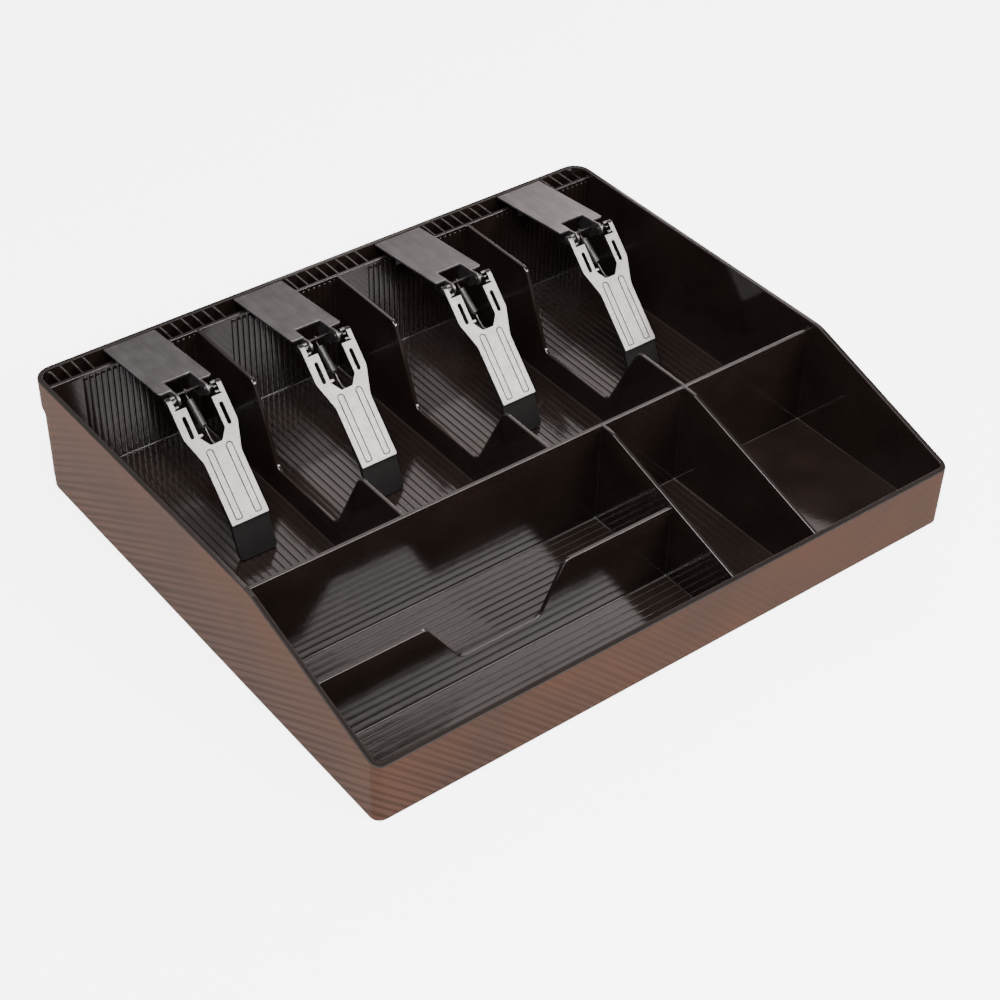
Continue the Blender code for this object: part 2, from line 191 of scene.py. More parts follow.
def close_rings(mesh, rings):
    """Make a closed solid of a row of rings of points."""
    mesh.faces.new(list(reversed(rings[0])))
    mesh.faces.new(rings[-1])
    for lower, upper in zip(rings, rings[1:]):
        for i in range(len(lower)):
            mesh.faces.new((lower[i - 1], lower[i], upper[i], upper[i - 1]))
    bmesh.ops.recalc_face_normals(mesh, faces=mesh.faces[:])


def cad_mesh(node):
    """A CAD node's mesh, with each flat area as one face."""
    mesh = bmesh.new()
    mesh.from_mesh(frame["nodes"][node].data)
    bmesh.ops.remove_doubles(mesh, verts=mesh.verts[:], dist=1e-6)
    join_flat_faces(mesh)
    return mesh


def add_to(mesh, other):
    """Move another mesh's faces into a mesh."""
    data = bpy.data.meshes.new("part")
    other.to_mesh(data)
    other.free()
    mesh.from_mesh(data)
    bpy.data.meshes.remove(data)


def new_object(name, mesh):
    """A scene object that holds a finished bmesh."""
    data = bpy.data.meshes.new(name)
    mesh.to_mesh(data)
    mesh.free()
    made = bpy.data.objects.new(name, data)
    bpy.context.scene.collection.objects.link(made)
    return made


def combine(made, operation, meshes):
    """Join each mesh to an object or cut it away, and keep the result as the object's own mesh."""
    for mesh in meshes:
        tool = new_object("tool", mesh)
        step = made.modifiers.new("step", "BOOLEAN")
        step.operation = operation
        step.solver = "MANIFOLD"
        step.object = tool
        depsgraph = bpy.context.evaluated_depsgraph_get()
        result = bpy.data.meshes.new_from_object(made.evaluated_get(depsgraph))
        made.modifiers.remove(step)
        result.name = made.name
        made.data = result
        bpy.data.objects.remove(tool)


def smooth(made, degrees=38):
    """Smooth shading that keeps flat faces flat and corners crisp."""
    made.data.shade_smooth()
    made.data.set_sharp_from_angle(angle=math.radians(degrees))
    normals = made.modifiers.new("normals", "WEIGHTED_NORMAL")
    normals.keep_sharp = True


def along_x(a, b, level):
    """Outline in Y and Z, thickness along X."""
    return (level, a, b)


def along_y(a, b, level):
    """Outline in X and Z, thickness along Y."""
    return (a, level, b)


# Tray

def inner_side():
    """Distance from the middle to the inside of a side wall, at the floor."""
    return tray_high.x - WALL - (tray_high.z - FLOOR) * DRAFT


def inner_front():
    """Y of the inside of the front wall, at the floor."""
    return tray_low.y + WALL + FRONT_WALL_LEAN


def ridge_line(low, high):
    """Points of a row of flat-topped ridges: distance across and depth below the ridge tops."""
    count = round((high - low) / FLOOR_RIDGE_PITCH)
    pitch = (high - low) / count
    half = pitch * FLOOR_RIDGE_SHARE / 2
    shape = (-1.0, -0.97, -0.92, -0.85, -0.75, 0.75, 0.85, 0.92, 0.97, 1.0)
    line = []
    for number in range(count):
        middle = low + pitch * (number + 0.5)
        line += [(middle + half * part, FLOOR_RIDGE_DEPTH * abs(part) ** FLOOR_RIDGE_SQUARENESS)
                 for part in shape]
    return line


def ridge_cutter(across, along, place):
    """What is cut from a floor to leave a row of ridges. It runs a little above the floor."""
    line = ridge_line(across[0] + RIDGE_END_GAP, across[1] - RIDGE_END_GAP)
    above = FLOOR + CUT_MARGIN
    outline = [Vector((distance, FLOOR - FLOOR_RIDGE_SUNK - depth)) for distance, depth in line]
    outline += [Vector((line[-1][0], above)), Vector((line[0][0], above))]
    return prism([outline], place, along[0] + RIDGE_END_GAP, along[1] - RIDGE_END_GAP)


def floor_cutters():
    """The ridges of the bill compartments run from front to rear, and so do those of the middle coin
    compartment. Those of the two long compartments run from side to side. The right coin compartment is
    smooth."""
    half = PARTITION / 2
    walls = [-inner_side() - half, *BILL_DIVIDER_X, inner_side() + half]
    bills = (CROSS_WALL_Y + half, CHANNEL_WALL_Y - half)
    cutters = [ridge_cutter((left + half, right - half), bills, along_y)
               for left, right in zip(walls, walls[1:])]
    long_x = (-inner_side(), COIN_DIVIDER_X[0] - half)
    cutters.append(ridge_cutter((NOTCHED_WALL_Y + half, CROSS_WALL_Y - half), long_x, along_x))
    cutters.append(ridge_cutter((inner_front(), NOTCHED_WALL_Y - half), long_x, along_x))
    middle = (COIN_DIVIDER_X[0] + half, COIN_DIVIDER_X[1] - half)
    cutters.append(ridge_cutter(middle, (inner_front(), CROSS_WALL_Y - half), along_y))
    return cutters


def bead(x, face_y, low, high, half_width, depth):
    """One upright bead with a flat face, rounded edges and a round top, half sunk in the wall behind it."""
    mesh = bmesh.new()
    corners = [(-half_width, -depth), (half_width, -depth), (half_width, depth), (-half_width, depth)]
    outline = rounded([(*corner, WALL_RIDGE_EDGE_ROUND) for corner in corners], 3)
    dome = half_width * 1.6
    levels = [(low, 1.0), (high - dome, 1.0)]
    for step in range(1, 6):
        angle = math.pi / 2 * step / 6
        levels.append((high - dome * (1 - math.sin(angle)), math.cos(angle)))
    close_rings(mesh, [[mesh.verts.new((x + a * share, face_y + b * share, z)) for a, b in outline]
                       for z, share in levels])
    return mesh


def wall_ridges(tray):
    """Upright beads in a shallow panel behind each bill compartment, to the right of a plain strip."""
    half = PARTITION / 2
    face = CHANNEL_WALL_Y - half
    walls = [-inner_side() - half, *BILL_DIVIDER_X, inner_side() + half]
    side = WALL_RIDGE_PITCH / 2
    bottom, top, corner = FLOOR + RIDGE_END_GAP, WALL_RIDGE_TOP + PANEL_ABOVE_RIDGES, PANEL_ABOVE_RIDGES
    panels = []
    beads = bmesh.new()
    for left, right in zip(walls, walls[1:]):
        start = left + half + WALL_RIDGE_START
        count = int((right - half - start) / WALL_RIDGE_PITCH) + 1
        end = start + (count - 1) * WALL_RIDGE_PITCH
        panel = rounded([(start - side, bottom), (end + side, bottom), (end + side, top, corner),
                         (start - side, top, corner)])
        panels.append(prism([panel], along_y, face - PANEL_MARGIN, face + WALL_RIDGE_DEPTH))
        for number in range(count):
            add_to(beads, bead(start + number * WALL_RIDGE_PITCH, face + WALL_RIDGE_DEPTH,
                               FLOOR + WALL_RIDGE_FOOT, WALL_RIDGE_TOP,
                               WALL_RIDGE_PITCH * WALL_RIDGE_HALF_SHARE, WALL_RIDGE_DEPTH * 0.95))
    combine(tray, "DIFFERENCE", panels)
    combine(tray, "UNION", [beads])


def channel_ribs():
    """Thin ribs across the rear channel, left out where a clip sits."""
    lip = tray_high.z - LIP_DEPTH
    low_y = tray_high.y - LIP_STEP - WALL / 2
    high_y = tray_high.y - WALL / 2
    front_y = CHANNEL_WALL_Y + PARTITION / 4
    profile = [(front_y, FLOOR / 2), (low_y, FLOOR / 2), (low_y, lip - LIP_STEP), (high_y, lip),
               (high_y, RIB_TOP), (front_y, RIB_TOP)]
    ribs = bmesh.new()
    x = RIB_FIRST_X
    while x < inner_side():
        if min(abs(x - joint["pos_m"][0]) for joint in frame["joints"]) > RIB_CLEAR_OF_CLIP:
            low, high = x - RIB_THICKNESS / 2, x + RIB_THICKNESS / 2
            add_to(ribs, prism([profile], along_x, low, high, RIB_EDGE_ROUND, 2))
        x += RIB_PITCH
    return ribs


def depth_inside(point):
    """Distance of a point inside the tray's outline, seen from above. The rear steps in below the lip."""
    rear = point.y > 0
    corner = REAR_CORNER if rear else FRONT_CORNER
    low = rear and point.z < tray_high.z - LIP_DEPTH - LIP_STEP / 2
    x = abs(point.x) - (tray_high.x - corner)
    y = abs(point.y) - (tray_high.y - corner) + (LIP_STEP if low else 0)
    if x > 0 and y > 0:
        return corner - math.hypot(x, y)
    return corner - max(x, y)


def finish_of(face):
    """Which material a face of the tray takes: 0 inside, 1 outer walls and underside, 2 rim."""
    centre = face.calc_center_median()
    if face.normal.z < -0.9 and centre.z < FLOOR / 4:
        return 1
    depth = depth_inside(centre)
    if face.normal.z > 0.4 and depth < WALL:
        return 2
    if depth < WALL / 2:
        return 1
    return 0


def make_tray(finishes):
    """The moulding. It takes the materials by where its faces are."""
    mesh = cad_mesh("tray")
    soften(mesh, EDGE_ROUND)
    tray = new_object("tray_moulding", mesh)
    combine(tray, "DIFFERENCE", floor_cutters())
    wall_ridges(tray)
    combine(tray, "UNION", [channel_ribs()])
    mesh = bmesh.new()
    mesh.from_mesh(tray.data)
    mesh.normal_update()
    tray.data.materials.clear()
    for finish in finishes:
        tray.data.materials.append(finish)
    for face in mesh.faces:
        face.material_index = finish_of(face)
    mesh.to_mesh(tray.data)
    mesh.free()
    smooth(tray)
    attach(tray, "root")
    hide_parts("tray")


# Clips. Their meshes are made round the pivot.

def lever_point(along, above):
    """Y and Z of a point along the lever and above its pivot."""
    forward = -math.cos(LEVER_ANGLE) * along - math.sin(LEVER_ANGLE) * above
    upward = -math.sin(LEVER_ANGLE) * along + math.cos(LEVER_ANGLE) * above
    return Vector((forward, upward))


def on_lever(across, along, above):
    """Outline across and along the lever, thickness away from it."""
    return (across, *lever_point(along, above))


def beside_lever(along, above, across):
    """Outline along and above the lever, thickness across it."""
    return (across, *lever_point(along, above))


def across_lever(across, above, along):
    """Outline across and above the lever, thickness along it."""
    return (across, *lever_point(along, above))


def plate_point(back, below):
    """Y and Z of a point on the bracket's plate, back from its front edge and below its top."""
    run = (PLATE_REAR - PLATE_FRONT).normalized()
    down = Vector((run.y, -run.x))
    return PLATE_FRONT + run * back + down * below


def on_plate(across, back, below):
    """Outline across and along the bracket's plate, thickness below its top."""
    return (across, *plate_point(back, below))


def plate_mesh():
    """The flat top of the bracket, with the notch that shows the spring."""
    length = (PLATE_REAR - PLATE_FRONT).length
    side = PLATE_HALF_WIDTH
    notch = PLATE_NOTCH_HALF_WIDTH
    outline = rounded([(-side, 0, 0.0014), (-notch, 0, 0.0003), (-notch, PLATE_NOTCH_DEPTH, 0.0003),
                       (notch, PLATE_NOTCH_DEPTH, 0.0003), (notch, 0, 0.0003), (side, 0, 0.0014),
                       (side, length, 0.0006), (-side, length, 0.0006)])
    return prism([outline], on_plate, 0, SHEET, 0.00025)


def arm_outline():
    """An arm seen from the side: it hangs from the plate and ends round the pivot."""
    end = []
    for step in range(13):
        angle = math.radians(90 + 180 * step / 12)
        end.append(ARM_END_RADIUS * Vector((math.cos(angle), math.sin(angle))))
    low = -ARM_END_RADIUS
    foot = rounded([(0, low), (0.0050, low - 0.0042, 0.0020), (0.0130, low - 0.0042, 0.0015),
                    plate_point(0.0160, SHEET / 2), plate_point(0.0010, SHEET / 3)])
    return end[:-1] + foot


def bracket_object():
    """The bracket: plate, two arms with holes for the pin and the rod, and two tabs astride the wall."""
    made = new_object("bracket", plate_mesh())
    notch = PLATE_NOTCH_HALF_WIDTH
    holes = [circle((0, 0), PIN_RADIUS + HOLE_CLEARANCE), circle(ROD, ROD_RADIUS + HOLE_CLEARANCE, 16)]
    arms = [prism([arm_outline()] + holes, along_x, side * notch, side * (notch + SHEET), SHEET_EDGE_ROUND)
            for side in (-1, 1)]
    tab = TAB_HALF_WIDTH
    rear_y = PLATE_REAR.x - SHEET
    rear_tab = rounded([(-tab, -0.0120, 0.001), (tab, -0.0120, 0.001), (tab, -0.0026), (-tab, -0.0026)])
    front_y = CHANNEL_WALL_Y - PARTITION / 2 - 0.0003 - SHEET - pivot_y
    front_tab = rounded([(-tab, -0.0110, 0.001), (tab, -0.0110, 0.001), (tab, -0.0016), (-tab, -0.0016)])
    tabs = [prism([rear_tab], along_y, rear_y, rear_y + SHEET, SHEET_EDGE_ROUND),
            prism([front_tab], along_y, front_y, front_y + SHEET, SHEET_EDGE_ROUND)]
    combine(made, "UNION", arms + tabs)
    return made


def lever_outline():
    """The lever's stamping: two prongs, a neck and a blade. The fork between the prongs holds the spring."""
    half = [(FORK_BOTTOM, 0.0031, 0.0005), (0.0198, FORK_HALF_WIDTH, 0.0010),
            (CUT_BACK, FORK_HALF_WIDTH, 0.0003), (CUT_BACK, EAR_INNER + SHEET / 2),
            (LEVER_TOP, EAR_INNER + SHEET / 2),
            (LEVER_TOP, PRONG_HALF_WIDTH, 0.0003), (0.0182, PRONG_HALF_WIDTH, 0.0080),
            (0.0317, BLADE_HALF_WIDTH, 0.0120), (LEVER_LENGTH, BLADE_HALF_WIDTH, 0.0005)]
    right = [(corner[1], corner[0], *corner[2:]) for corner in half]
    left = [(-corner[1], corner[0], *corner[2:]) for corner in reversed(half)]
    return rounded(right + left)


def slot_outline(side):
    """The long slot in a prong."""
    middle, half_width, upper, lower = side * 0.0098, 0.00088, 0.0084, 0.0190
    low, high = middle - half_width, middle + half_width
    return rounded([(low, upper, 0.0008), (high, upper, 0.0008), (high, lower, 0.0008), (low, lower, 0.0008)])


def pill(middle, half_width, start, end):
    """The outline of an embossed bead: round at its upper end, square with soft corners at its lower end."""
    left, right = middle - half_width, middle + half_width
    upper, lower = half_width * 0.98, half_width * 0.45
    return rounded([(left, start, upper), (right, start, upper), (right, end, lower), (left, end, lower)])


def curled_end(side):
    """The upper end of a prong, which curls down."""
    middle = Vector((LEVER_TOP, LEVER_RISE - CURL_RADIUS))
    outer = []
    inner = []
    for step in range(9):
        angle = math.radians(90 + 90 * step / 8)
        spoke = Vector((math.cos(angle), math.sin(angle)))
        outer.append(middle + CURL_RADIUS * spoke)
        inner.append(middle + (CURL_RADIUS - SHEET) * spoke)
    straight = 0.0006
    foot = LEVER_RISE - CURL_RADIUS - straight
    profile = [Vector((LEVER_TOP + straight, LEVER_RISE))] + outer
    profile += [Vector((LEVER_TOP - CURL_RADIUS, foot)), Vector((LEVER_TOP - CURL_RADIUS + SHEET, foot))]
    profile += list(reversed(inner)) + [Vector((LEVER_TOP + straight, LEVER_RISE - SHEET))]
    low, high = sorted((side * EAR_INNER, side * PRONG_HALF_WIDTH))
    return prism([profile], beside_lever, low, high, SHEET_EDGE_ROUND)


def ear_mesh(side):
    """The ear folded down from a prong to the pivot."""
    top = LEVER_RISE - 0.00005
    outline = [Vector((LEVER_TOP + 0.0001, top))]
    for step in range(13):
        angle = math.radians(180 + 180 * step / 12)
        outline.append(EAR_RADIUS * Vector((math.cos(angle), math.sin(angle))))
    outline.append(Vector((CUT_BACK - 0.0002, top - 0.0008)))
    outline.append(Vector((CUT_BACK - 0.0002, top)))
    low, high = sorted((side * EAR_INNER, side * (EAR_INNER + SHEET)))
    hole = circle((0, 0), PIN_RADIUS + HOLE_CLEARANCE)
    return prism([outline, hole], beside_lever, low, high, SHEET_EDGE_ROUND)


def ear_studs(side):
    """Three short studs on the inner face of an ear."""
    studs = bmesh.new()
    root = side * (EAR_INNER + SHEET / 2)
    for along, above, radius, length in ((-0.0014, 0.0026, 0.0008, 0.0022), (0.0008, 0.0027, 0.0005, 0.0016),
                                         (0.0033, 0.0031, 0.0008, 0.0020)):
        low, high = sorted((root, side * (EAR_INNER - length)))
        add_to(studs, prism([circle((along, above), radius, 20)], beside_lever, low, high, SHEET_EDGE_ROUND))
    return studs


def side_tab():
    """The small tab on the left side of the fork, near its bottom."""
    root = -FORK_HALF_WIDTH - 0.0005
    outline = rounded([(root, 0.0181), (-0.0045, 0.0184, 0.0003), (-0.0042, 0.0195, 0.0003), (root, 0.0199)])
    return prism([outline], on_lever, LEVER_RISE - SHEET - 0.0004, LEVER_RISE - 0.0005, SMALL_EDGE_ROUND)


def spring_tab():
    """The tab folded down from the end of the fork, with the hole that the spring hooks into."""
    side, root = 0.0020, LEVER_RISE - SHEET / 2
    outline = rounded([(-side, -0.0018, 0.0012), (side, -0.0018, 0.0012), (side, root), (-side, root)])
    hole = circle((0, 0), 0.0008, 16)
    return prism([outline, hole], across_lever, FORK_BOTTOM + 0.0001, FORK_BOTTOM + SHEET, SMALL_EDGE_ROUND)


def lever_object():
    """The lever: stamping, curled ends, ears and spring tab, with two embossed beads along the blade."""
    outlines = [lever_outline(), slot_outline(-1), slot_outline(1)]
    made = new_object("lever", prism(outlines, on_lever, LEVER_RISE - SHEET, LEVER_RISE, 0.00028))
    folded = [curled_end(-1), curled_end(1), ear_mesh(-1), ear_mesh(1), ear_studs(-1), ear_studs(1),
              side_tab(), spring_tab()]
    combine(made, "UNION", folded)
    under = LEVER_RISE - SHEET
    for side in (-1, 1):
        outer = pill(side * EMBOSS_X, 0.00190, EMBOSS_START, EMBOSS_END)
        inner = pill(side * EMBOSS_X, 0.00142, EMBOSS_START + 0.0005, EMBOSS_END - 0.0005)
        sunk = pill(side * EMBOSS_X, 0.00110, EMBOSS_START + 0.0009, EMBOSS_END - 0.0009)
        groove = prism([outer], on_lever, LEVER_RISE - 0.00045, LEVER_RISE + CUT_MARGIN)
        raised = prism([inner], on_lever, LEVER_RISE - SHEET / 2, LEVER_RISE + 0.00005, 0.00010)
        hollow = prism([sunk], on_lever, under - CUT_MARGIN, under + 0.0004)
        combine(made, "DIFFERENCE", [groove, hollow])
        combine(made, "UNION", [raised])
    return made


def pad_object():
    """The pad: a soft block under the lever's end, and a flap whose foot sinks into the floor's ridges."""
    under = LEVER_RISE - SHEET - 0.0003
    end = lever_point(LEVER_LENGTH, under)
    run = (PAD_FOOT - end).normalized()
    back = Vector((-run.y, run.x))

    def on_flap(across, down, behind):
        return (across, *(end + run * down + back * behind))

    side = PAD_HALF_WIDTH
    length = (PAD_FOOT - end).length
    flap = rounded([(-side, -0.0004, 0.0004), (side, -0.0004, 0.0004), (side, length, 0.0022),
                    (-side, length, 0.0022)])
    made = new_object("pad", prism([flap], on_flap, 0.00002, PAD_THICKNESS, 0.0004))
    block = [(-side, 0.0515, 0.001), (side, 0.0515, 0.001), (side, LEVER_LENGTH + 0.0003, 0.0003),
             (-side, LEVER_LENGTH + 0.0003, 0.0003)]
    combine(made, "UNION", [prism([rounded(block)], on_lever, under - 0.0019, under, 0.0003)])
    return made


def turned(profile, sides, direction):
    """A round solid from (distance, radius) pairs along a direction, closed at both ends."""
    mesh = bmesh.new()
    turn = Vector((0, 0, 1)).rotation_difference(direction)
    rings = []
    for distance, radius in profile:
        ring = [turn @ Vector((x, y, distance)) for x, y in circle((0, 0), radius, sides)]
        rings.append([mesh.verts.new(point) for point in ring])
    close_rings(mesh, rings)
    return mesh


def pin_object(side):
    """A short pin with a domed head outside the ear and a small one inside the arm."""
    inner = PLATE_NOTCH_HALF_WIDTH - 0.0003
    outer = EAR_INNER + SHEET + 0.0002
    small = PIN_RADIUS + 0.0003
    profile = [(inner - 0.0003, small - 0.0002), (inner - 0.0002, small), (inner, small), (inner, PIN_RADIUS),
               (outer, PIN_RADIUS), (outer, PIN_HEAD_RADIUS), (outer + 0.0002, PIN_HEAD_RADIUS)]
    for step in range(1, 5):
        angle = math.pi / 2 * step / 5
        profile.append((outer + 0.0002 + 0.0005 * math.sin(angle), PIN_HEAD_RADIUS * math.cos(angle)))
    return new_object("pin", turned(profile, 28, Vector((side, 0, 0))))


def rod_object():
    """The rod across the arms that holds the spring."""
    half = PLATE_NOTCH_HALF_WIDTH + SHEET + 0.0006
    soft = 0.0002
    profile = [(-half, ROD_RADIUS - soft), (-half + soft, ROD_RADIUS), (half - soft, ROD_RADIUS),
               (half, ROD_RADIUS - soft)]
    mesh = turned(profile, 20, Vector((1, 0, 0)))
    bmesh.ops.translate(mesh, vec=(0, *ROD), verts=mesh.verts[:])
    return new_object("rod", mesh)


def spring_path():
    """The wire's centre line: a hook round the rod, the close coil, and a hook through the lever's tab."""
    rod = Vector((0, *ROD))
    tab = Vector(on_lever(0, FORK_BOTTOM + SHEET / 2, 0))
    axis = (tab - rod).normalized()
    side = Vector((1, 0, 0))
    up = side.cross(axis)
    length = (tab - rod).length
    start, end = COIL_START, length - COIL_END_SPACE
    turns = (end - start) / COIL_PITCH
    path = []
    for step in range(15):
        angle = math.radians(-60 - 210 * step / 14)
        path.append(rod + ROD_HOOK_RADIUS * (math.cos(angle) * axis - math.sin(angle) * up))
    for run, rise in ((0.0016, ROD_HOOK_RADIUS * 0.7), (0.0028, 0.0006), (0.0038, 0.0008)):
        path.append(rod + axis * run + up * rise)
    steps = int(turns * 14)
    for step in range(steps + 1):
        angle = 2 * math.pi * turns * step / steps
        path.append(rod + axis * (start + (end - start) * step / steps)
                    + COIL_RADIUS * (math.cos(angle) * up + math.sin(angle) * side))
    for run, rise, across in ((0.0008, 0.0009, 0.0007), (0.0020, 0.0010, 0.0006),
                              (0.0042, 0.0009, 0.0004), (0.0060, 0.0005, 0.0002)):
        path.append(rod + axis * (end + run) + up * rise + side * across)
    path.append(tab - axis * 0.0024)
    for step in range(12):
        angle = math.radians(215 * step / 11)
        path.append(tab - up * TAB_HOOK_RADIUS
                    + TAB_HOOK_RADIUS * (math.cos(angle) * axis + math.sin(angle) * up))
    return path


def tube(path, radius, sides):
    """A closed round wire along a path."""
    mesh = bmesh.new()
    rings = []
    normal = (path[1] - path[0]).orthogonal().normalized()
    for index, point in enumerate(path):
        ahead = (path[min(index + 1, len(path) - 1)] - path[max(index - 1, 0)]).normalized()
        normal = (normal - ahead * normal.dot(ahead)).normalized()
        other = ahead.cross(normal)
        rings.append([mesh.verts.new(point + radius * (math.cos(2 * math.pi * s / sides) * normal
                                                       + math.sin(2 * math.pi * s / sides) * other))
                      for s in range(sides)])
    close_rings(mesh, rings)
    return mesh


def spring_object():
    """The extension spring."""
    return new_object("spring", tube(spring_path(), WIRE_RADIUS, 8))


def place_copy(model, kind, number, joint, body):
    """One clip's copy of a model, in place of the CAD node of the same kind."""
    node = f"clip_{number}_{kind}"
    made = bpy.data.objects.new(f"{node}_detail", model.data)
    bpy.context.scene.collection.objects.link(made)
    made.location = joint["pos_m"]
    smooth(made)
    if kind == "spring":
        made.data = model.data.copy()
        made.modifiers.clear()
        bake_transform(made)
    else:
        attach(made, body)
    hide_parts(node)


def paint_shade_in_folds(lever, dark_and_painted_shade_steel):
    """Painted shade: dark metal on the lever's ears and in the grooves round its two embossed beads, where
    they lie in shade.
    """
    lever.data.materials.append(dark_and_painted_shade_steel)
    ahead = Vector((0, *lever_point(1, 0)))
    outward = Vector((0, *lever_point(0, 1)))
    for face in lever.data.polygons:
        along = face.center.dot(ahead)
        above = face.center.dot(outward)
        across = abs(face.center.x)
        sunk = above < LEVER_RISE - 0.00006
        in_groove = (EMBOSS_START - 0.0005 < along < EMBOSS_END + 0.0008 and above > LEVER_RISE - 0.0006
                     and across < EMBOSS_X + 0.0022)
        on_ear = along < CUT_BACK and EAR_INNER - 0.0001 < across < PRONG_HALF_WIDTH - 0.0006
        # Sunk faces in the grooves and on the ears take the dark metal as painted shade.
        face.material_index = int(sunk and (in_groove or on_ear))


def make_clips(plate_steel, lever_steel, wire_steel, dark_and_painted_shade_steel, rubber):
    """Four clips, one at each hinge joint."""
    kinds = {
        "bracket": (bracket_object(), plate_steel, "root", "satin_steel"),
        "lever": (lever_object(), lever_steel, "lever", "bright_steel"),
        "pad": (pad_object(), rubber, "lever", "pad_rubber"),
        "pin_left": (pin_object(-1), lever_steel, "root", "bright_steel"),
        "pin_right": (pin_object(1), lever_steel, "root", "bright_steel"),
        "spring_rod": (rod_object(), dark_and_painted_shade_steel, "root", "bright_steel"),
        "spring": (spring_object(), wire_steel, "lever", "spring_steel"),
    }
    for kind, (model, finish, body, slot) in kinds.items():
        model.data.materials.clear()
        model.data.materials.append(finish)
        # The lever's ears and bead grooves get dark metal as painted shade.
        if kind == "lever":
            paint_shade_in_folds(model, dark_and_painted_shade_steel)
        for number, joint in enumerate(frame["joints"], start=1):
            place_copy(model, kind, number, joint, joint["child"] if body == "lever" else "root")
        bpy.data.objects.remove(model)


# Materials

def new_material(name, roughness, metallic=0.0):
    """A material with its node tree and its shader."""
    made = bpy.data.materials.new(name)
    made.use_nodes = True
    tree = made.node_tree
    shader = tree.nodes["Principled BSDF"]
    shader.inputs["Roughness"].default_value = roughness
    shader.inputs["Metallic"].default_value = metallic
    return made, tree, shader


def position(tree, scale=(1, 1, 1)):
    """Object coordinates, scaled."""
    where = tree.nodes.new("ShaderNodeTexCoord")
    mapping = tree.nodes.new("ShaderNodeMapping")
    mapping.inputs["Scale"].default_value = scale
    tree.links.new(where.outputs["Object"], mapping.inputs["Vector"])
    return mapping.outputs["Vector"]


def noise(tree, vector, scale, detail=3.0, distortion=0.0):
    """A noise pattern's value."""
    made = tree.nodes.new("ShaderNodeTexNoise")
    made.inputs["Scale"].default_value = scale
    made.inputs["Detail"].default_value = detail
    made.inputs["Distortion"].default_value = distortion
    tree.links.new(vector, made.inputs["Vector"])
    return made.outputs["Fac"]


def ramp(tree, value, stops):
    """A colour ramp over a value. Each stop is a place and a colour."""
    made = tree.nodes.new("ShaderNodeValToRGB")
    while len(made.color_ramp.elements) < len(stops):
        made.color_ramp.elements.new(0.5)
    for element, (place_on_ramp, colour) in zip(made.color_ramp.elements, stops):
        element.position = place_on_ramp
        element.color = (*colour, 1.0)
    tree.links.new(value, made.inputs["Fac"])
    return made.outputs["Color"]


def two_tone(tree, shader, value, dark, light):
    """Base colour that goes from dark to light over the middle of a value's range."""
    tree.links.new(ramp(tree, value, [(0.3, dark), (0.7, light)]), shader.inputs["Base Color"])


def fade(tree, value, start, end, first, last):
    """A value that runs from first to last while another runs from start to end."""
    made = tree.nodes.new("ShaderNodeMapRange")
    made.inputs["From Min"].default_value = start
    made.inputs["From Max"].default_value = end
    made.inputs["To Min"].default_value = first
    made.inputs["To Max"].default_value = last
    tree.links.new(value, made.inputs["Value"])
    return made.outputs["Result"]


def uneven(tree, shader, value, smoothest, roughest):
    """Roughness that follows a value."""
    tree.links.new(fade(tree, value, 0.0, 1.0, smoothest, roughest), shader.inputs["Roughness"])


def bump(tree, shader, height, strength, distance):
    """Bump on the shader."""
    made = tree.nodes.new("ShaderNodeBump")
    made.inputs["Strength"].default_value = strength
    made.inputs["Distance"].default_value = distance
    tree.links.new(height, made.inputs["Height"])
    tree.links.new(made.outputs["Normal"], shader.inputs["Normal"])


def black_plastic(name, dark, light, smoothest, roughest, ior):
    """Black-brown moulding: slightly uneven, with a fine skin."""
    made, tree, shader = new_material(name, smoothest)
    where = position(tree)
    two_tone(tree, shader, noise(tree, where, 35.0), dark, light)
    uneven(tree, shader, noise(tree, where, 120.0), smoothest, roughest)
    bump(tree, shader, noise(tree, where, 90.0, 4.0), 0.15, 0.0004)
    shader.inputs["IOR"].default_value = ior
    return made


def inside_plastic():
    """The glossy inside of the tray."""
    dark, light = (0.0070, 0.0046, 0.0038), (0.0110, 0.0072, 0.0060)
    return black_plastic("tray_black_plastic", dark, light, 0.08, 0.13, 1.6)


def rim_with_painted_sheen():
    """The rim: the black plastic with a satin finish, its grey a little lighter than the inside as painted
    sheen on the top faces.
    """
    # A lighter grey than the inside, painted as sheen on the rim's top faces.
    dark, light = (0.0130, 0.0108, 0.0100), (0.0180, 0.0150, 0.0140)
    return black_plastic("tray_rim_with_painted_sheen", dark, light, 0.40, 0.55, 1.25)


def multiply(tree, first, second):
    """The product of two values."""
    made = tree.nodes.new("ShaderNodeMath")
    made.operation = "MULTIPLY"
    tree.links.new(first, made.inputs[0])
    tree.links.new(second, made.inputs[1])
    return made.outputs["Value"]


def painted_reflection_streaks(tree, where):
    """Painted reflection of a wooden table: parallel streaks on a slant through the part, a little wavy. 1 in
    a streak and 0 between.
    """
    slant = tree.nodes.new("ShaderNodeVectorMath")
    slant.operation = "DOT_PRODUCT"
    slant.inputs[1].default_value = (0.95, 0.59, 1.0)
    tree.links.new(where, slant.inputs[0])
    along = tree.nodes.new("ShaderNodeCombineXYZ")
    tree.links.new(slant.outputs["Value"], along.inputs["X"])
    spread = tree.nodes.new("ShaderNodeVectorMath")
    spread.operation = "MULTIPLY_ADD"
    spread.inputs[1].default_value = (0.035, 0.035, 0.035)
    tree.links.new(where, spread.inputs[0])
    tree.links.new(along.outputs["Vector"], spread.inputs[2])
    wave = tree.nodes.new("ShaderNodeTexWave")
    wave.inputs["Scale"].default_value = 74.0
    wave.inputs["Distortion"].default_value = 4.0
    wave.inputs["Detail"].default_value = 2.0
    wave.inputs["Detail Scale"].default_value = 2.2
    tree.links.new(spread.outputs["Vector"], wave.inputs["Vector"])
    return ramp(tree, wave.outputs["Fac"], [(0.20, (1.0, 1.0, 1.0)), (0.65, (0.0, 0.0, 0.0))])


